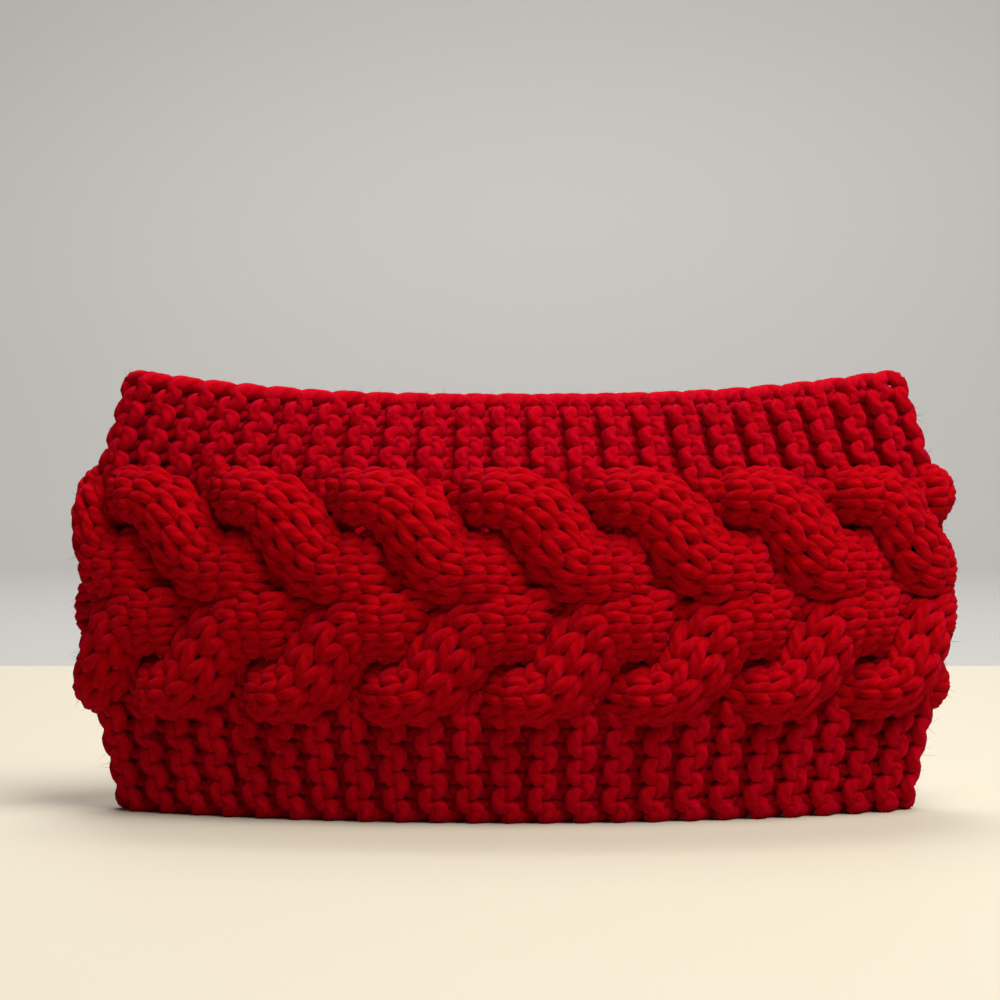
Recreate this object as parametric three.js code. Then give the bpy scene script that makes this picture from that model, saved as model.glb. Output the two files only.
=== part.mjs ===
import * as THREE from "three";

// An ear warmer headband, knitted sideways as one long strip and joined into a ring. It stands on its
// lower edge, pressed into a long pointed oval. +X runs along the oval, -Y is the front and +Z is up.
// All sizes are in millimetres.

// The ring, measured over the cable
const bandWidth = 230;
const bandDepth = 85;
const cableFoldRadius = 10; // middle of the cable's thickness, in the two side folds

// The cable: two ropes, one above the other, each of two strands that keep crossing
const turns = 8; // round the ring; in one turn each strand passes over the other and back under it
const strandWidth = 14.9;
const strandThickness = 6.2; // where one strand lies on another
const strandEdgeThickness = 8.4; // where the strands lie side by side and puff out
const strandSpread = 0.55; // share by which a strand widens as it slants across
const strandRoll = 0.3; // radians that a strand tips as it rounds the rope
const upperCrossingPlace = -1; // from the front middle to the nearest gap between strands
const lowerCrossingPlace = -3.5;

// The borders: garter stitch, whose ridges run up and down the band
const ridgesPerTurn = 6;
const ridgeDepth = 1.5;
const borderThickness = 6.5; // over the ridges
const lowerBorderHeight = 26.7;
const upperBorderHeight = 27.2; // at the side folds
const topDip = 8; // how far the top edge sinks from the side folds to the middle of each face
const dipPower = 2.6; // how soon the top edge rises towards the folds
const borderFoldRadius = 6; // middle of the border's thickness, beside the cable
const edgeFoldRadius = 4.4; // and at its free edge

// How far the middle of a border's thickness lies inside the cable's, and leans in towards its free edge
const borderPlaces = {
  lower: { setBack: 2.8, sideLean: 7, faceLean: 6 },
  upper: { setBack: 3.8, sideLean: 7, faceLean: 10 },
};

// A border's section, from beside the cable (0) to its free edge (1), with shares of its thickness
const borderSection = [
  { fromCable: 0, thickness: 1 },
  { fromCable: 0.2, thickness: 1 },
  { fromCable: 0.55, thickness: 1 },
  { fromCable: 0.88, thickness: 0.94 },
  { fromCable: 1, thickness: 0.6 },
];

const knitGap = 0.3; // between one piece and the next
const strandGap = 0.5; // between the two strands of a rope, whose flat facets cut across their curves
const cableStretchline = 4; // how far outside the middle of the thickness the knitting keeps its length
const borderStretchline = 2; // in a fold, because the fabric bunches up inside it

// Fineness of the faceted shapes
const stepsPerTurn = 14;
const strandSides = 8;
const slicesPerRidge = 2;

// From a rope's middle line to the middle of a strand: sideways where the strands lie side by side, and
// across the thickness where one lies on the other
const strandReach = (strandWidth + strandGap) / 2;
const strandLift = (strandThickness + strandGap) / 2;

const lerp = THREE.MathUtils.lerp;

// One strand's section where its turn round the rope has reached the angle phase: its middle, its half
// width and half thickness, and how it is rolled. Across is along the band's height, out is across the
// thickness of the band.
function strandSection(phase) {
  const beside = Math.cos(phase) ** 2;
  const halfThickness = lerp(strandThickness, strandEdgeThickness, beside) / 2;
  return {
    across: strandReach * Math.cos(phase),
    out: strandLift * Math.sin(phase),
    halfWidth: (strandWidth / 2) * (1 + strandSpread * (1 - beside)),
    halfThickness,
    roll: -strandRoll * Math.sin(2 * phase),
  };
}

// How far a rope reaches from its own middle, along the band's height and across its thickness, at the
// widest places of its strands
function ropeReach() {
  const samples = 90;
  const reach = { across: 0, out: 0 };
  for (let sample = 0; sample <= samples; sample += 1) {
    const { across, out, halfWidth, halfThickness, roll } = strandSection((Math.PI * sample) / samples);
    const sideways = Math.hypot(halfWidth * Math.cos(roll), halfThickness * Math.sin(roll));
    const outwards = Math.hypot(halfWidth * Math.sin(roll), halfThickness * Math.cos(roll));
    reach.across = Math.max(reach.across, across + sideways);
    reach.out = Math.max(reach.out, out + outwards);
  }
  return reach;
}

// Heights up the band, from the foot: each piece clears the one below it by the knit gap
const rope = ropeReach();
const lowerRopeHeight = lowerBorderHeight + knitGap + rope.across;
const upperRopeHeight = lowerRopeHeight + 2 * rope.across + knitGap;
const upperBorderFoot = upperRopeHeight + rope.across + knitGap;

// A level line round the ring: two long shallow arcs for the faces, which meet in a tight arc in each
// side fold. The returned function takes the share of the way round, from the front middle towards +X,
// and gives the place there and the level direction that points out of the ring. Shares are measured
// along the line that lies stretchline further out.
function ringLine(halfWidth, halfDepth, foldRadius, stretchline) {
  const foldPlace = halfWidth - foldRadius;
  const faceRadius = (foldPlace ** 2 + halfDepth ** 2 - foldRadius ** 2) / (2 * (halfDepth - foldRadius));
  const faceAngle = Math.asin(foldPlace / (faceRadius - foldRadius));
  const faceLength = (faceRadius + stretchline) * faceAngle;
  const quarter = faceLength + (foldRadius + stretchline) * (Math.PI / 2 - faceAngle);

  function at(share) {
    const along = (share - Math.round(share)) * 4 * quarter;
    const side = along < 0 ? -1 : 1;
    const behind = Math.abs(along) > quarter ? 1 : -1;
    const way = behind > 0 ? 2 * quarter - Math.abs(along) : Math.abs(along);
    const onFace = way < faceLength;
    const radius = onFace ? faceRadius : foldRadius;
    const turned = onFace ? way : way - faceLength;
    const angle = (onFace ? 0 : faceAngle) + turned / (radius + stretchline);
    const centreX = onFace ? 0 : foldPlace;
    const centreY = onFace ? faceRadius - halfDepth : 0;
    return {
      x: side * (centreX + radius * Math.sin(angle)),
      y: behind * (radius * Math.cos(angle) - centreY),
      outX: side * Math.sin(angle),
      outY: behind * Math.cos(angle),
    };
  }
  return { at, length: 4 * quarter };
}

// A closed skin over rows of points: every row is one loop round the section, and the last row meets
// the first
function closedSkin(rows) {
  const around = rows[0].length;
  const places = rows.flat().flatMap((point) => [point.x, point.y, point.z]);
  const corners = [];
  for (let row = 0; row < rows.length; row += 1) {
    const nextRow = (row + 1) % rows.length;
    for (let side = 0; side < around; side += 1) {
      const nextSide = (side + 1) % around;
      const here = row * around + side;
      const ahead = nextRow * around + side;
      const aheadUp = nextRow * around + nextSide;
      const hereUp = row * around + nextSide;
      corners.push(here, ahead, aheadUp, here, aheadUp, hereUp);
    }
  }
  const geometry = new THREE.BufferGeometry();
  geometry.setAttribute("position", new THREE.Float32BufferAttribute(places, 3));
  geometry.setIndex(corners);
  geometry.computeVertexNormals();
  return geometry;
}

function shifted(spot, out, height) {
  return new THREE.Vector3(spot.x + spot.outX * out, spot.y + spot.outY * out, height);
}

const cableHalfWidth = bandWidth / 2 - rope.out;
const cableHalfDepth = bandDepth / 2 - rope.out;
const cableLine = ringLine(cableHalfWidth, cableHalfDepth, cableFoldRadius, cableStretchline);

// A strand of a rope, as a closed loop that winds round the rope's middle line: ahead is 0 for one
// strand and half a turn for the other. The over parts slant from the rope's outer edge in to the middle
// of the cable: handed is 1 for the upper rope and -1 for the lower one, its mirror image.
function strandShape(height, crossingPlace, handed, ahead) {
  const start = 2 * Math.PI * (ahead - (turns * crossingPlace) / cableLine.length);
  const steps = turns * stepsPerTurn;
  const rows = [];
  for (let step = 0; step < steps; step += 1) {
    const share = step / steps;
    const spot = cableLine.at(share);
    const section = strandSection(start + 2 * Math.PI * turns * share);
    const row = [];
    for (let side = 0; side < strandSides; side += 1) {
      const angle = (handed * 2 * Math.PI * side) / strandSides;
      const wide = section.halfWidth * Math.sin(angle);
      const thick = section.halfThickness * Math.cos(angle);
      const across = section.across + wide * Math.cos(section.roll) - thick * Math.sin(section.roll);
      const out = section.out + wide * Math.sin(section.roll) + thick * Math.cos(section.roll);
      row.push(shifted(spot, out, height + handed * across));
    }
    rows.push(row);
  }
  return closedSkin(rows);
}

// The line round the ring that the middle of a border's thickness follows
function borderLine(place, fromCable) {
  const halfWidth = cableHalfWidth - place.setBack - place.sideLean * fromCable;
  const halfDepth = cableHalfDepth - place.setBack - place.faceLean * fromCable;
  const foldRadius = lerp(borderFoldRadius, edgeFoldRadius, fromCable);
  return ringLine(halfWidth, halfDepth, foldRadius, borderStretchline);
}

// A garter stitch border: a wall of even thickness that is pushed out at each ridge and in between
// ridges. heightAt gives the heights beside the cable and at the free edge, at a spot of the ring.
function borderShape(place, heightAt) {
  const lines = borderSection.map((level) => borderLine(place, level.fromCable));
  const besideCable = lines[0];
  const slices = turns * ridgesPerTurn * slicesPerRidge;
  const wall = borderThickness - ridgeDepth;
  const rows = [];
  for (let slice = 0; slice < slices; slice += 1) {
    const share = slice / slices;
    const push = (ridgeDepth / 2) * Math.cos((2 * Math.PI * slice) / slicesPerRidge);
    const { joint, edge } = heightAt(besideCable.at(share));
    const outside = [];
    const inside = [];
    borderSection.forEach((level, index) => {
      const spot = lines[index].at(share);
      const height = lerp(joint, edge, level.fromCable);
      outside.push(shifted(spot, push + (wall * level.thickness) / 2, height));
      inside.push(shifted(spot, push - (wall * level.thickness) / 2, height));
    });
    const loop = [...outside, ...inside.reverse()];
    rows.push(edge > joint ? loop : loop.reverse());
  }
  return closedSkin(rows);
}

function lowerBorderHeights() {
  return { joint: lowerBorderHeight, edge: 0 };
}

// The top edge is lowest in the middle of the front and the back, and rises towards the side folds
function upperBorderHeights(spot) {
  const towardsFold = Math.abs(spot.x) / (cableHalfWidth - borderPlaces.upper.setBack);
  const dip = topDip * (1 - towardsFold ** dipPower);
  return { joint: upperBorderFoot, edge: upperBorderFoot + upperBorderHeight - dip };
}

function yarn(colour) {
  return new THREE.MeshStandardMaterial({ color: colour, roughness: 0.92, metalness: 0 });
}

function piece(name, geometry, material) {
  const mesh = new THREE.Mesh(geometry, material);
  mesh.name = name;
  return mesh;
}

function lowerStrand(ahead) {
  return strandShape(lowerRopeHeight, lowerCrossingPlace, -1, ahead);
}

function upperStrand(ahead) {
  return strandShape(upperRopeHeight, upperCrossingPlace, 1, ahead);
}

const headband = new THREE.Group();
headband.add(
  piece("lower_border", borderShape(borderPlaces.lower, lowerBorderHeights), yarn(0xa50a18)),
  piece("lower_rope_first_strand", lowerStrand(0), yarn(0xb80c1c)),
  piece("lower_rope_second_strand", lowerStrand(0.5), yarn(0xb80c1c)),
  piece("upper_rope_first_strand", upperStrand(0), yarn(0xb80c1c)),
  piece("upper_rope_second_strand", upperStrand(0.5), yarn(0xb80c1c)),
  piece("upper_border", borderShape(borderPlaces.upper, upperBorderHeights), yarn(0xa50a18)),
);

export default headband;
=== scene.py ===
# %% [markdown]
# # A hand-knitted ear warmer
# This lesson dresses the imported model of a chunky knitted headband. The model holds the band's six
# solids: two garter stitch borders and the four strands of a double cable. Each one is replaced here
# by the knitting itself, with every stitch made from real yarn.
#
# The script works in millimetres, as a knitter's ruler does, and turns them into metres when a mesh
# is made. The camera, the table and the lights are far larger than a stitch, and are in metres.

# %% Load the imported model
import math

import bpy
import numpy as np
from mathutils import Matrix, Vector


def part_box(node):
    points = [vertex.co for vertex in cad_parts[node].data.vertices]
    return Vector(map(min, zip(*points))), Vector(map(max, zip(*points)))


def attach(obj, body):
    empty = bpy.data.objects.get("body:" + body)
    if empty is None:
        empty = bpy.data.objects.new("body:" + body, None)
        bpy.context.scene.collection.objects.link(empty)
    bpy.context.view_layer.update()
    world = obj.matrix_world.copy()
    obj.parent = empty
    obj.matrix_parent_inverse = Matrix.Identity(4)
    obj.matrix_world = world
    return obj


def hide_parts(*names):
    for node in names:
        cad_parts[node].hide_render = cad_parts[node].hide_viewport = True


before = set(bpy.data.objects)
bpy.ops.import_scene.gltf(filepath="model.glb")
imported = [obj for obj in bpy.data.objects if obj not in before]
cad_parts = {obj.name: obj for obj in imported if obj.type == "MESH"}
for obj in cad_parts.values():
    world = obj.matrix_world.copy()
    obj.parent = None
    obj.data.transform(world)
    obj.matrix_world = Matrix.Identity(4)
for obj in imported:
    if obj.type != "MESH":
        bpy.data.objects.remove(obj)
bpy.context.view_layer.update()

metres_per_millimetre = 0.001


# %% [markdown]
# ## The camera
# The camera comes first, because every later decision is judged through it. The band is seen from
# nearly straight ahead, about as high as its top edge, by a long lens 83 cm away. A wide lens close
# by would also frame it, but a long lens keeps the side folds almost as large as the front.

# %% Place the camera
camera_place = (-0.0038, -0.83, 0.109)
lens_length = 115
looking_down = math.radians(1.97)
nearest_seen = 0.05
farthest_seen = 20

camera_data = bpy.data.cameras.new("camera")
camera_data.lens = lens_length
camera_data.clip_start = nearest_seen
camera_data.clip_end = farthest_seen
camera = bpy.data.objects.new("camera", camera_data)
camera.location = camera_place
camera.rotation_euler = (math.pi / 2 - looking_down, 0, 0)
bpy.context.scene.collection.objects.link(camera)
bpy.context.scene.camera = camera
print("The camera stands", -camera_place[1], "m in front of the band")

# %% [markdown]
# ## The line that the band follows
# Seen from above, the band is a long oval: two shallow arcs for the front and the back, and a tight
# arc in each side fold. A headband could be drawn as an ellipse, but an ellipse has no folds, so the
# oval is put together from the same four arcs as the solids.
#
# Everything is first laid out flat: how far round, how high, and how far out. Two functions then bend
# that flat strip round the oval. In a fold the fabric bunches up inside and keeps its length a little
# outside its middle, so lengths are measured along that outer line, the stretchline.

# %% The oval
cable_half_width = 108.1
cable_half_depth = 35.6
cable_fold_radius = 10
cable_stretchline = 4


def oval_arcs(half_width, half_depth, fold_radius, stretchline):
    """The face's radius and angle, the length of half a face, and that of a quarter of the oval.

    Formula: the face is an arc that is level at the front middle and meets the fold's arc without a
    corner, so its radius is (fold place squared + half depth squared - fold radius squared) divided
    by twice (half depth - fold radius). A length is the radius, made larger by the stretchline,
    times the angle.
    """
    fold_place = half_width - fold_radius
    face_radius = (fold_place**2 + half_depth**2 - fold_radius**2) / (2 * (half_depth - fold_radius))
    face_angle = np.arcsin(fold_place / (face_radius - fold_radius))
    face_length = (face_radius + stretchline) * face_angle
    quarter = face_length + (fold_radius + stretchline) * (np.pi / 2 - face_angle)
    return face_radius, face_angle, face_length, quarter


def around_oval(share, half_width, half_depth, fold_radius, stretchline):
    """Level places on the oval, and the outward directions there, at shares of the way round.

    Formula: the share counts from the front middle and becomes a way along the stretchline, first on
    the face and then in the fold. A place is the arc's centre plus its radius times the sine and
    cosine of the angle turned, and it is mirrored into the other three quarters.
    """
    face_radius, face_angle, face_length, quarter = oval_arcs(
        half_width, half_depth, fold_radius, stretchline
    )
    along = (share - np.round(share)) * 4 * quarter
    side = np.where(along < 0, -1.0, 1.0)
    behind = np.where(np.abs(along) > quarter, 1.0, -1.0)
    way = np.where(behind > 0, 2 * quarter - np.abs(along), np.abs(along))
    on_face = way < face_length
    radius = np.where(on_face, face_radius, fold_radius)
    turned = np.where(on_face, way, way - face_length) / (radius + stretchline)
    angle = np.where(on_face, 0.0, face_angle) + turned
    x = side * (np.where(on_face, 0.0, half_width - fold_radius) + radius * np.sin(angle))
    y = behind * (radius * np.cos(angle) - np.where(on_face, face_radius - half_depth, 0.0))
    level = np.zeros(len(x))
    places = np.stack([x, y, level], axis=-1)
    outward = np.stack([side * np.sin(angle), behind * np.cos(angle), level], axis=-1)
    return places, outward


def stand_off(places, outward, out, height):
    """Moves level places outward by out and sets them at a height."""
    points = places + outward * out[:, None]
    points[:, 2] = height
    return points


cable_length = 4 * oval_arcs(cable_half_width, cable_half_depth, cable_fold_radius, cable_stretchline)[3]
print("The cable is", round(cable_length), "mm round")

# %% [markdown]
# ## One row of yarn
# Knitting is one long yarn that wanders in loops. Each loop has a head, which the next row's loop
# hangs in, two legs, and feet where it turns to its neighbours. A stitch could be made once and
# copied, but then every one is the same, and the yarn would be cut at each copy. Here the yarn is a
# formula, so it runs on without an end: across a row, round the edge, and back as the next row.
#
# The loop is an omega shape: the yarn swings to and fro along the fabric, and a second, twice as
# quick swing narrows its feet and widens its head.

# %% The yarn's path in a flat piece of knitting
rows_round = 96
samples_in_stitch = 18
samples_in_turn = 10


def yarn_path(stitches, pinch, reach, turn_bulge, turn_swell, turn_roundness):
    """The closed path of the yarn through all rows, as flat arrays.

    Formula for one stitch, with t from minus pi to pi: across = t / 2 pi + pinch * sin 2t, in
    stitches, and along = reach * cos t, in rows. The legs come forward as -cos 2t, and the head and
    feet move as cos t. Every second row runs the other way. The turn at a row's end is half an oval
    up to the next row: it stands out by bulge times the sine of its angle to the power roundness,
    which is blunter the smaller the power is, and swells along the fabric in its middle.
    """
    share_of_row = np.arange(stitches * samples_in_stitch) / samples_in_stitch
    swing = 2 * np.pi * (share_of_row - np.floor(share_of_row)) - np.pi
    across = np.floor(share_of_row) + 0.5 + swing / (2 * np.pi) + pinch * np.sin(2 * swing)
    turn = np.pi * np.arange(samples_in_turn) / samples_in_turn
    turn_across = stitches / 2 + turn_bulge * np.sin(turn) ** turn_roundness
    turn_along = 0.5 - (0.5 + turn_swell * np.sin(turn)) * np.cos(turn)
    across = np.append(across - stitches / 2, turn_across)
    along = np.append(reach * np.cos(swing), turn_along - reach)
    legs = np.append(-np.cos(2 * swing), -np.ones(samples_in_turn))
    heads = np.append(np.cos(swing), -np.cos(turn))
    in_turn = np.append(np.zeros(len(swing)), np.sin(turn))
    row = np.arange(rows_round)[:, None]
    way = np.where(row % 2 == 0, 1.0, -1.0)
    return {
        "across": (way * across).ravel(),
        "along": (row + along).ravel(),
        "legs": np.tile(legs, rows_round),
        "heads": np.tile(heads, rows_round),
        "turn": np.tile(in_turn, rows_round),
        "way": np.repeat(way.ravel(), len(across)),
    }


print("A stitch takes", samples_in_stitch, "points along the yarn, and a turn", samples_in_turn)

# %% [markdown]
# ## Hand-made unevenness
# No two hand-made stitches are quite alike. A little noise could be added to every point, but yarn
# is stiff enough to stay smooth, so each stitch gets one random value, and the yarn glides from one
# value to the next.

# %% Smooth random values along the yarn
yarn_wobble = 0.05


def uneven(seed, count):
    """Random values from -1 to 1 for the count points of a closed yarn.

    Formula: one value is drawn for each stitch's length of yarn, and the points between two values
    blend them with (1 - cosine) / 2 of the way.
    """
    values = np.random.default_rng(seed).uniform(-1, 1, count // samples_in_stitch)
    place = np.arange(count) / count * len(values)
    before = place.astype(int) % len(values)
    blend = (1 - np.cos(np.pi * (place - np.floor(place)))) / 2
    return values[before] * (1 - blend) + values[(before + 1) % len(values)] * blend


print("One random value is drawn for every", samples_in_stitch, "points of yarn")

# %% [markdown]
# ## From a path to yarn
# The path is swept with a round section into a closed tube. Blender's curves could do this with a
# bevel, but a mesh made by hand also gets a UV map that runs along the yarn and round it, which the
# twist of the plies needs later.

# %% Sweep a path into a closed tube
yarn_sides = 8
yarn_map = "along_the_yarn"


def unit(vectors):
    """Each vector divided by its own length."""
    return vectors / np.linalg.norm(vectors, axis=1, keepdims=True)


def smooth_mesh(name, corners, faces):
    """A mesh with smooth shading, from an array of corners in metres and one of faces."""
    mesh = bpy.data.meshes.new(name)
    mesh.from_pydata(corners, [], faces)
    mesh.polygons.foreach_set("use_smooth", np.ones(len(faces), bool))
    mesh.update()
    return mesh


def tube_mesh(name, path, outward, radius):
    """A closed tube round a closed path, with a UV map of turns round it and metres along it.

    Formula: the tangent is the difference of the neighbours, one normal is the tangent crossed with
    the fabric's outward direction, and the other is crossed again from those two. A ring of points
    at radius * (cos, sin) of the angle stands on the two normals.
    """
    tangent = unit(np.roll(path, -1, axis=0) - np.roll(path, 1, axis=0))
    sideways = unit(np.cross(tangent, outward))
    upwards = np.cross(sideways, tangent)
    angle = (2 * np.pi * np.arange(yarn_sides) / yarn_sides)[None, :, None]
    ring = np.cos(angle) * upwards[:, None, :] + np.sin(angle) * sideways[:, None, :]
    corners = path[:, None, :] + radius[:, None, None] * ring

    here = yarn_sides * np.arange(len(path))[:, None]
    ahead = np.roll(here, -1, axis=0)
    side = np.arange(yarn_sides)
    beside = (side + 1) % yarn_sides
    faces = np.stack([here + side, here + beside, ahead + beside, ahead + side], axis=-1).reshape(-1, 4)
    mesh = smooth_mesh(name, corners.reshape(-1, 3) * metres_per_millimetre, faces)

    step = np.linalg.norm(np.roll(path, -1, axis=0) - path, axis=1) * metres_per_millimetre
    walked = np.concatenate([[0.0], np.cumsum(step)])
    uv = np.zeros((len(path), yarn_sides, 4, 2), np.float32)
    uv[..., 0] = (side[:, None] + np.array([0, 1, 1, 0])) / yarn_sides
    uv[:, :, :2, 1] = walked[:-1, None, None]
    uv[:, :, 2:, 1] = walked[1:, None, None]
    mesh.uv_layers.new(name=yarn_map).data.foreach_set("uv", uv.ravel())
    mesh.validate()
    return mesh


def add_piece(piece_name, mesh, material):
    """Puts a finished mesh into the scene as a piece that rides on the band's one body."""
    piece = bpy.data.objects.new(piece_name, mesh)
    bpy.context.scene.collection.objects.link(piece)
    mesh.materials.append(material)
    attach(piece, "root")
    mesh.calc_loop_triangles()
    print(piece.name, "has", len(mesh.loop_triangles), "triangles")
    return piece


def add_yarn(name, points, outward, radius, material):
    """Makes the yarn that takes the place of the CAD node of this name."""
    yarn_name = name + "_yarn"
    piece = add_piece(yarn_name, tube_mesh(yarn_name, points, outward, radius), material)
    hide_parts(name)


print("The yarn has", yarn_sides, "sides")

# %% [markdown]
# ## Shader arithmetic
# A shader is a small sum worked out at every point of a surface. Written as nodes it is hard to
# read, so a small class lets the sum be written as plain Python: each sign adds one Math node.

# %% A socket that can be added and multiplied
class Wire:
    """The output of a shader node. Arithmetic on it adds Math nodes."""

    def __init__(self, finish, socket):
        self.finish = finish
        self.socket = socket

    def math(self, operation, *values):
        """One Math node on these values, each of them a number or a wire."""
        return self.finish.node("ShaderNodeMath", {"operation": operation}, dict(enumerate(values)))

    def __add__(self, other):
        return self.math("ADD", self, other)

    def __radd__(self, other):
        return self.math("ADD", other, self)

    def __mul__(self, other):
        return self.math("MULTIPLY", self, other)

    def __rmul__(self, other):
        return self.math("MULTIPLY", other, self)

    def __truediv__(self, other):
        return self.math("DIVIDE", self, other)

    def __rtruediv__(self, other):
        return self.math("DIVIDE", other, self)

    def sine(self):
        """The sine of an angle in radians."""
        return self.math("SINE", self)

    def cosine(self):
        """The cosine of an angle in radians."""
        return self.math("COSINE", self)


class Finish:
    """A material that is built up node by node round one Principled shader."""

    def __init__(self, name):
        self.material = bpy.data.materials.new(name)
        self.material.use_nodes = True
        self.tree = self.material.node_tree
        self.shader = self.tree.nodes["Principled BSDF"]

    def node(self, kind, settings, sockets, output=0):
        """Adds a node, applies its settings, fills or links its sockets and gives one output."""
        made = self.tree.nodes.new(kind)
        for name, value in settings.items():
            setattr(made, name, value)
        for name, value in sockets.items():
            self.fill(made.inputs[name], value)
        return Wire(self, made.outputs[output])

    def fill(self, socket, value):
        """Links a wire to a socket, or sets the socket to a plain value."""
        if isinstance(value, Wire):
            self.tree.links.new(value.socket, socket)
        else:
            socket.default_value = value

    def noise(self, place, scale, detail):
        """A cloudy pattern from 0 to 1, finer as its scale rises."""
        return self.node("ShaderNodeTexNoise", {}, {"Vector": place, "Scale": scale, "Detail": detail})

    def surface(self, **sockets):
        """Sets the Principled shader's own sockets, named with underscores for spaces."""
        for name, value in sockets.items():
            self.fill(self.shader.inputs[name.replace("_", " ")], value)


print("Shader sums can now be written with + * and /")

# %% [markdown]
# ## The wool
# The yarn is a soft bulky wool: a few plies twisted gently together, each a bundle of fibres, with
# fuzz all over that catches the light along every edge. A photograph of wool could be wrapped round
# the yarn, but it would have one scale and a seam. Here the twist is a wave that runs round and along
# the yarn, the fibres are a noise drawn out along the same slant, and the finest fuzz is a second
# noise and the shader's sheen. The colour is a random dye mottle, plus painted shade that makes it
# deeper where the fibres lie low and in the grooves between the plies.

# %% Red wool
plies = 3
ply_twist_length = 0.011
fibre_ring = 0.0095
fibre_squeeze = 0.25
fibre_scale, fibre_detail = 900.0, 3.0
fuzz_scale, fuzz_detail = 1400.0, 4.0
dye_scale, dye_detail = 60.0, 2.0
ply_relief, fibre_relief, fuzz_relief = 0.5, 0.8, 0.5
relief_depth = 0.0005
# How far the low fibres and the ply grooves darken the colour as painted shade, and how much the random
# dye mottles it
fibre_painted_shade, dye_shade, ply_groove_painted_shade = 0.5, 0.3, 0.1
wool_roughness = 0.95
wool_gloss = 0.02
wool_sheen = 0.2
sheen_roughness = 0.45
sheen_tint = (1.0, 0.02, 0.12, 1.0)
first_colour, second_colour, mixed_colour = 6, 7, 2


def wool(name, deep, bright):
    """Wool with its twist and fibres in the bump, and a colour between the two that is a mottled dye plus
    painted shade where the fibres and the ply grooves lie low.

    Formula: the turn is 2 pi * (the way round + the way along / the twist's length), so its lines
    slant as the plies do. The twist is the cosine of the turn, once for each ply, and the fibres are
    noise on a ring that the turn walks round, squeezed along the yarn so that it draws out in lines.
    The colour factor adds the fibres, the dye noise and the twist, so the low fibres and the ply grooves
    get a painted shade on top of the dye's own mottle.
    """
    finish = Finish(name)
    place = finish.node("ShaderNodeUVMap", {"uv_map": yarn_map}, {})
    around = finish.node("ShaderNodeSeparateXYZ", {}, {0: place}, "X")
    along = finish.node("ShaderNodeSeparateXYZ", {}, {0: place}, "Y")
    turn = 2 * math.pi * (around + along / ply_twist_length)
    twist = (plies * turn).cosine()
    ring = {"X": turn.cosine() * fibre_ring, "Y": turn.sine() * fibre_ring, "Z": along * fibre_squeeze}
    fibres = finish.noise(finish.node("ShaderNodeCombineXYZ", {}, ring), fibre_scale, fibre_detail)
    spot = finish.node("ShaderNodeTexCoord", {}, {}, "Object")
    fuzz = finish.noise(spot, fuzz_scale, fuzz_detail)
    dye = finish.noise(spot, dye_scale, dye_detail)
    height = ply_relief * twist + fibre_relief * fibres + fuzz_relief * fuzz
    bump = finish.node("ShaderNodeBump", {}, {"Height": height, "Strength": 1.0, "Distance": relief_depth})
    # Painted shade: the fibre noise and the ply twist also darken the colour where they lie low, as shade
    # in the hollows would; the dye noise is the yarn's own mottle
    dye_and_painted_shade = fibre_painted_shade * fibres + dye_shade * dye + ply_groove_painted_shade * twist
    mix = {"Factor": dye_and_painted_shade, first_colour: deep, second_colour: bright}
    colour = finish.node("ShaderNodeMix", {"data_type": "RGBA"}, mix, mixed_colour)
    finish.surface(Base_Color=colour, Normal=bump, Roughness=wool_roughness, Specular_IOR_Level=wool_gloss)
    finish.surface(Sheen_Weight=wool_sheen, Sheen_Roughness=sheen_roughness, Sheen_Tint=sheen_tint)
    return finish.material


cable_wool = wool("cable_wool", deep=(0.29, 0.0001, 0.001, 1), bright=(0.55, 0.0004, 0.006, 1))
border_wool = wool("border_wool", deep=(0.31, 0.0001, 0.002, 1), bright=(0.58, 0.0004, 0.012, 1))
print("Made", cable_wool.name, "and", border_wool.name)

# %% [markdown]
# ## The ropes of the cable
# A cable is made by knitting stitches out of their order, so that one group of them passes in front
# of another. Each rope has two such groups, its strands, which keep crossing. A strand could be one
# thick tube, as in the solids, but its stitches are what the eye reads as knitting.
#
# Each strand here is a ribbon of four stitches that winds round its rope: over on the front, beside
# its partner at the rope's edge, and under behind. The ribbon is curled like a gutter turned upside
# down, which makes the plump lobes, and it widens where it slants across. A real cable's crossings
# are never quite evenly spaced, so each rope is stretched a little on one side and eased on the other.

# %% A strand's own sizes
rope_turns = 8
strand_stitches = 4
strand_reach = 7.7
strand_steepness = 0.12
inside_shift, outside_shift = 0.4, 1.4
strand_lift = 4.3
over_share = 0.55
over_delay = math.radians(10)
crossing_briskness = 3
row_slant = 0.8
knit_depth = 1.1
turn_tuck = 0.8
cable_pinch = 0.24
cable_loop_reach = 0.68
cable_turn_bulge = 0.12
cable_yarn_radius = 1.65
leg_plumpness, over_plumpness = 0.06, 0.16
cable_row_wobble, cable_width_wobble, cable_depth_wobble = 0.08, 0.03, 0.12

# Where the strand is: at the rope's outer edge, over the other, at the inner edge, or under it
stitch_widths = (3.9, 6.0, 3.8, 7.6)
curls = (0.19, 0.1, 0.085, -0.02)
tilts = (math.radians(-4), 0, math.radians(14), 0)
print("A strand has", strand_stitches * rows_round, "stitches")


# %% Follow a strand round its rope
def where_wound(phase):
    """Four shares that say where a strand is in its winding: outside, over, inside and under.

    Formula: cosine squared of the phase, kept for the half turn round each of the four places.
    """
    quarters = [np.cos(phase), np.sin(phase), -np.cos(phase), -np.sin(phase)]
    return [np.clip(quarter, 0, 1) ** 2 for quarter in quarters]


def blend_places(values, shares):
    """One value at each place of the winding, blended by the shares."""
    return sum(value * share for value, share in zip(values, shares))


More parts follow.
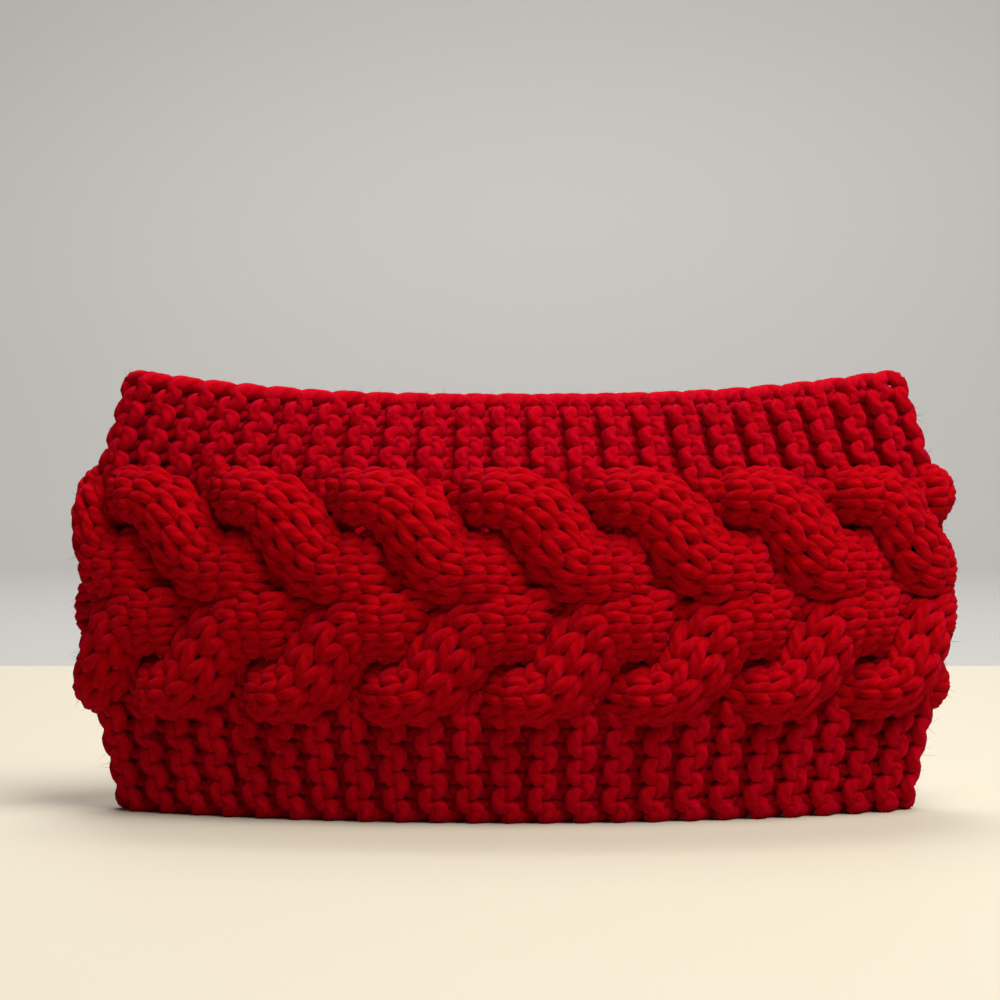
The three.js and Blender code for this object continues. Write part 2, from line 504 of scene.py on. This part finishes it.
def strand_piece(name, handed, crossing_place, stretch, ahead, seed):
    """One strand of a rope, as a closed yarn. Gives its points, outward directions and radius.

    Formula: the phase grows evenly round the band, less a drift of one sine wave. The strand's
    middle lies reach * (cosine of the phase - steepness * cosine of three times it) across the rope,
    and lift * tanh of briskness * (sine of the delayed phase + over share) out of the band, so it is
    over for more than half of each turn. A point of a row lies beside that middle on an arc whose
    width, curl and tilt change with the phase, along a line that is square to the strand's slant.
    """
    low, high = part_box(name)
    rope_height = (low.z + high.z) / 2 / metres_per_millimetre
    path = yarn_path(
        strand_stitches,
        cable_pinch,
        cable_loop_reach,
        turn_bulge=cable_turn_bulge,
        turn_swell=0,
        turn_roundness=1,
    )
    count = len(path["across"])
    share = -(path["along"] + cable_row_wobble * uneven(seed, count)) / rows_round
    start = ahead - rope_turns * crossing_place / cable_length
    drift = stretch * np.sin(2 * np.pi * share) / cable_length
    phase = 2 * np.pi * (start + rope_turns * (share - drift))
    shares = where_wound(phase)
    outside, over, inside = shares[:3]
    curl = blend_places(curls, shares)
    tilt = blend_places(tilts, shares)

    sharpened = 1 - strand_steepness
    middle = strand_reach * (np.cos(phase) - strand_steepness * np.cos(3 * phase)) / sharpened
    middle = middle + inside_shift * inside + outside_shift * outside
    climb = -strand_reach * (np.sin(phase) - 3 * strand_steepness * np.sin(3 * phase)) / sharpened
    slope = climb * 2 * np.pi * rope_turns / cable_length * row_slant
    square = np.sqrt(1 + slope**2)

    widened = (1 + cable_width_wobble * uneven(seed + 1, count)) * blend_places(stitch_widths, shares)
    beside = path["across"] * widened
    bend = curl * beside
    level = beside * np.sinc(bend / np.pi)
    drop = beside * bend / 2 * np.sinc(bend / 2 / np.pi) ** 2
    raised = knit_depth * (path["legs"] + cable_depth_wobble * uneven(seed + 2, count))
    raised = raised - turn_tuck * path["turn"]
    sideways = level * np.cos(tilt) - drop * np.sin(tilt) + raised * np.sin(tilt + bend)
    out = strand_lift * np.tanh(crossing_briskness * (np.sin(phase - over_delay) + over_share))
    out = out - level * np.sin(tilt) - drop * np.cos(tilt) + raised * np.cos(tilt + bend)

    places, outward = around_oval(
        share - sideways * slope / square / cable_length,
        cable_half_width,
        cable_half_depth,
        cable_fold_radius,
        cable_stretchline,
    )
    points = stand_off(places, outward, out, rope_height + handed * (middle + sideways / square))
    radius = 1 + leg_plumpness * path["legs"] + over_plumpness * over
    radius = (radius + yarn_wobble * uneven(seed + 3, count)) * cable_yarn_radius
    add_yarn(name, points, outward, radius, cable_wool)
    return points, outward, radius


# %% [markdown]
# ## Knitting the four strands
# The lower rope mirrors the upper one, and the second strand of a rope runs half a turn ahead of the
# first. The crossing place is how far the gap between two lobes lies from the front middle, and the
# stretch is how far the crossings are moved along the band. All four could share one mesh, copied
# and mirrored, but separate yarns have their own unevenness, as hand knitting does.

# %% Knit the four strands
upper_rope = {"handed": 1, "crossing_place": -7.5, "stretch": 4.9}
lower_rope = {"handed": -1, "crossing_place": -1, "stretch": 2.8}
cable_yarns = [
    strand_piece("lower_rope_first_strand", **lower_rope, ahead=0, seed=10),
    strand_piece("lower_rope_second_strand", **lower_rope, ahead=0.5, seed=20),
    strand_piece("upper_rope_first_strand", **upper_rope, ahead=0, seed=30),
    strand_piece("upper_rope_second_strand", **upper_rope, ahead=0.5, seed=40),
]

# %% [markdown]
# ## The garter stitch borders
# Garter stitch is knitted on both faces in turn, so its rows come forward and go back by pairs. Two
# rows make one ridge, and as the band was knitted sideways the ridges stand upright. They could be
# pressed into a plain surface as waves, but then the yarn would not turn at the edge. The loops here
# are the same as in the cable, but their heads and feet move out and in instead of their legs.
#
# At the free edge the yarn turns round into the next row, which makes a bump for each ridge. At the
# other end the border runs on behind the cable, a little sunk, so that no gap shows between them.

# %% A border's own sizes
border_stitches = 4
border_pinch = 0.2
border_loop_reach = 0.9
border_yarn_radius = 1.85
bump_plumpness, edge_plumpness = 0.1, 0.22
border_row_wobble, border_depth_wobble = 0.06, 0.25
flat_top = 0.5
border_stretchline = 2
border_fold_radius = 6
edge_fold_radius = 4.4
dip_power = 2.6
behind_cable = 5
sunk_behind_cable = 2.2
sink_from = 2
print("A border has", border_stitches * rows_round, "stitches in", rows_round // 2, "ridges")


# %% Follow a border round the band
def border_piece(name, joint, edge, dip, place, ridge_depth, turn_shape, seed):
    """One garter stitch border, as a closed yarn. Gives its points, outward directions and radius.

    Formula: across the border the yarn runs from behind the cable to the free edge, and each share
    of that way has its own oval, which is smaller the nearer it lies to the free edge. The ridges
    are the ridge depth times the heads' swing, outwards in one row and inwards in the next, with its
    top flattened by the factor (1 + flat - flat * swing squared). The free edge is lowered by dip *
    (1 - share of the half width to a power). Where the border runs on behind the cable, it sinks
    evenly, from a little way outside the joint.
    """
    path = yarn_path(border_stitches, border_pinch, border_loop_reach, **turn_shape)
    count = len(path["across"])
    span = abs(edge - joint)
    stitch = (span + behind_cable - border_yarn_radius) / (border_stitches + turn_shape["turn_bulge"])
    from_cable = ((path["across"] + border_stitches / 2) * stitch - behind_cable) / span
    share = -(path["along"] + border_row_wobble * uneven(seed, count)) / rows_round
    half_width = cable_half_width - place["set_back"] - place["side_lean"] * from_cable
    half_depth = cable_half_depth - place["set_back"] - place["face_lean"] * from_cable
    fold_radius = border_fold_radius + (edge_fold_radius - border_fold_radius) * from_cable
    places, outward = around_oval(share, half_width, half_depth, fold_radius, border_stretchline)

    swing = path["heads"] * (1 + flat_top - flat_top * path["heads"] ** 2)
    out = ridge_depth * path["way"] * swing + border_depth_wobble * uneven(seed + 1, count)
    sunk = (sink_from - from_cable * span) / (sink_from + behind_cable)
    out = out - sunk_behind_cable * np.clip(sunk, 0, 1)
    towards_fold = np.clip(np.abs(places[:, 0]) / (cable_half_width - place["set_back"]), 0, 1)
    lowered = dip * (1 - towards_fold**dip_power)
    points = stand_off(places, outward, out, joint + from_cable * (edge - lowered - joint))
    radius = 1 + bump_plumpness * (2 * path["heads"] ** 2 - 1) + edge_plumpness * path["turn"]
    radius = (radius + yarn_wobble * uneven(seed + 2, count)) * border_yarn_radius
    add_yarn(name, points, outward, radius, border_wool)
    return points, outward, radius


# %% [markdown]
# ## Knitting the two borders
# Each border starts where its solid meets the cable and ends at the solid's free edge. The lower one
# stands level on the table. The upper one dips in the middle of the front and the back, leans in
# more, and has deeper ridges and rounder turns.

# %% Knit the two borders
lower_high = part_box("lower_border")[1]
upper_low, upper_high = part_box("upper_border")
border_yarns = [
    border_piece(
        "lower_border",
        joint=lower_high.z / metres_per_millimetre,
        edge=0,
        dip=0,
        place={"set_back": 2.8, "side_lean": 5.5, "face_lean": 6},
        ridge_depth=2.1,
        turn_shape={"turn_bulge": 0.1, "turn_swell": 0.85, "turn_roundness": 0.4},
        seed=50,
    ),
    border_piece(
        "upper_border",
        joint=upper_low.z / metres_per_millimetre,
        edge=upper_high.z / metres_per_millimetre,
        dip=8,
        place={"set_back": 3.8, "side_lean": 8, "face_lean": 10},
        ridge_depth=2.4,
        turn_shape={"turn_bulge": 0.4, "turn_swell": 0.55, "turn_roundness": 1},
        seed=60,
    ),
]

# %% [markdown]
# ## Stray fibres
# Wool is never clean: the ends of its fibres work loose and stand off as a soft halo. Hair particles
# would be the quick way, but they are not a mesh that travels with the piece, so each fibre is a
# tapered, three-sided spike that leaves the yarn, bends, and comes to a point.

# %% Let fibres stand off the yarn
fibre_length = 3.0
shortest_share, longest_share = 0.4, 1.3
fibre_radius = 0.07
fibre_bend = 0.35
fibre_rings = 3
root_depth = 0.8
fibre_outwards = 1.3
fibre_slant = 1.2
clear_of_table = 0.05


def stray_fibres(name, yarns, material, count, seed):
    """One mesh of loose fibres on a few yarns.

    Formula: a root is the yarn's middle plus a share of its radius along a random direction square
    to the yarn. The fibre leaves along that direction, slanted along the yarn by a random amount,
    and bends towards a second random direction with the square of the way. Each ring has three
    corners and shrinks evenly to the last one, which is a single point.
    """
    random = np.random.default_rng(seed)
    points, outward, radius = (np.concatenate(arrays) for arrays in zip(*yarns))
    tangent = unit(np.concatenate([np.roll(yarn[0], -1, axis=0) - yarn[0] for yarn in yarns]))
    chosen = random.integers(0, len(points), count)
    wander, bent = random.normal(0, 1, (2, count, 3))
    away = fibre_outwards * outward[chosen] + wander
    away = unit(away - tangent[chosen] * np.sum(away * tangent[chosen], axis=1, keepdims=True))
    root = points[chosen] + root_depth * radius[chosen, None] * away
    leave = unit(away + tangent[chosen] * random.uniform(-fibre_slant, fibre_slant, (count, 1)))
    length = fibre_length * random.uniform(shortest_share, longest_share, (count, 1))

    way = (np.arange(fibre_rings + 1) / fibre_rings)[:, None, None]
    middle = root + length * (leave * way + fibre_bend * bent * way**2)
    side = unit(np.cross(leave, bent))
    angle = (2 * np.pi * np.arange(3) / 3)[:, None, None]
    corner = np.cos(angle) * side + np.sin(angle) * np.cross(leave, side)
    rings = middle[:-1, None] + fibre_radius * (1 - way[:-1, None]) * corner
    corners = np.concatenate([rings.reshape(-1, count, 3), middle[-1:]])
    corners[..., 2] = np.maximum(corners[..., 2], clear_of_table)
    corners = corners.transpose(1, 0, 2).reshape(-1, 3) * metres_per_millimetre

    ring = np.arange(fibre_rings - 1)[:, None] * 3
    here = np.arange(3)[None, :]
    ahead = (here + 1) % 3
    lower = np.stack([ring + here, ring + ahead, ring + 3 + ahead], axis=-1).reshape(-1, 3)
    upper = np.stack([ring + here, ring + 3 + ahead, ring + 3 + here], axis=-1).reshape(-1, 3)
    last = 3 * (fibre_rings - 1)
    tip = last + np.array([[0, 1, 3], [1, 2, 3], [2, 0, 3]])
    one_fibre = np.concatenate([lower, upper, tip, [[2, 1, 0]]])
    faces = (np.arange(count)[:, None, None] * (last + 4) + one_fibre).reshape(-1, 3)
    mesh = smooth_mesh(name, corners, faces)
    mesh.uv_layers.new(name=yarn_map)
    add_piece(name, mesh, material)


stray_fibres("cable_fibres", cable_yarns, cable_wool, count=8000, seed=70)
stray_fibres("border_fibres", border_yarns, border_wool, count=6500, seed=80)

# %% [markdown]
# ## The table and the wall
# The band stands on a pale, plain table in front of a pale, plain wall. Two separate planes would
# meet in a hard line, so one sheet runs back from the table and bends up into the wall. The table's
# colour ends a little way behind the band, and the rest of the sheet has the wall's colour.

# %% Table and wall
sheet_width = 14.0
sheet_front = -8.0
table_edge = 0.43
bend_start = 1.1
bend_radius = 0.4
bend_steps = 24
wall_top = 2.5
plain_roughness = 0.6


def plain_finish(name, colour):
    """A plain matt finish for the table or the wall."""
    finish = Finish(name)
    finish.surface(Base_Color=colour, Roughness=plain_roughness)
    return finish.material


def sweep_mesh():
    """The sheet that is table and wall in one.

    Formula: its outline is level from the front to the table's edge and on to the bend, follows a
    quarter circle of y = radius * sin and z = radius * (1 - cos), and ends in an upright wall. The
    first face is the table's.
    """
    angle = np.linspace(0, np.pi / 2, bend_steps)
    bend_y = bend_start + bend_radius * np.sin(angle)
    bend_z = bend_radius * (1 - np.cos(angle))
    y = np.concatenate([[sheet_front, table_edge], bend_y, [bend_start + bend_radius]])
    z = np.concatenate([[0.0, 0.0], bend_z, [wall_top]])
    left = np.stack([np.full(len(y), -sheet_width / 2), y, z], axis=-1)
    right = left * (-1, 1, 1)
    here = np.arange(len(y) - 1)
    faces = np.stack([here, here + len(y), here + len(y) + 1, here + 1], axis=-1)
    return smooth_mesh("sweep", np.concatenate([left, right]), faces)


floor = bpy.data.objects.new("floor", sweep_mesh())
floor.data.materials.append(plain_finish("pale_table", colour=(0.49, 0.45, 0.36, 1)))
floor.data.materials.append(plain_finish("pale_wall", colour=(0.35, 0.345, 0.335, 1)))
on_wall = np.arange(len(floor.data.polygons)) > 0
floor.data.polygons.foreach_set("material_index", on_wall.astype(np.int32))
bpy.context.scene.collection.objects.link(floor)
print("The table ends", table_edge, "m behind the band")

# %% [markdown]
# ## The light
# The light is a bright room's. One large soft source stands high at the front right, so every stitch
# has a lit side and a shaded one. Light from straight ahead would flatten them. A weaker source
# behind lights the top edge, a third one lights the wall, and a dim grey world fills the shadows.

# %% Soft lights
def soft_light(name, place, target, size, power, colour):
    """A square area light that faces a target.

    Formula: the light points down, so it is first pitched by the angle between down and the
    direction to the target, and then turned to that direction's compass angle.
    """
    data = bpy.data.lights.new(name, "AREA")
    data.shape = "SQUARE"
    data.size = size
    data.energy = power
    data.color = colour
    light = bpy.data.objects.new(name, data)
    light.location = place
    direction = np.array(target) - np.array(place)
    pitch = math.acos(-direction[2] / np.linalg.norm(direction))
    turn = math.atan2(direction[1], direction[0])
    light.rotation_euler = (pitch, 0, turn - math.pi / 2)
    bpy.context.scene.collection.objects.link(light)
    print(name, "gives", power, "W")


band_middle = (0, 0, 0.05)
wall_middle = (0, 1.5, 0.5)
key_colour = (1, 0.98, 0.95)
far_colour = (1, 0.98, 0.96)
soft_light("key_light", (0.4, -0.42, 1.2), band_middle, size=0.8, power=28.5, colour=key_colour)
soft_light("edge_light", (-0.1, 0.6, 1.2), band_middle, size=0.8, power=8, colour=far_colour)
soft_light("wall_light", (0, 0.6, 1.3), wall_middle, size=0.6, power=14, colour=far_colour)

room_colour = (0.9, 0.87, 0.84, 1)
room_strength = 0.1
world = bpy.data.worlds.new("room")
world.use_nodes = True
background = world.node_tree.nodes["Background"]
background.inputs["Color"].default_value = room_colour
background.inputs["Strength"].default_value = room_strength
bpy.context.scene.world = world
bpy.context.scene.view_settings.view_transform = "Standard"
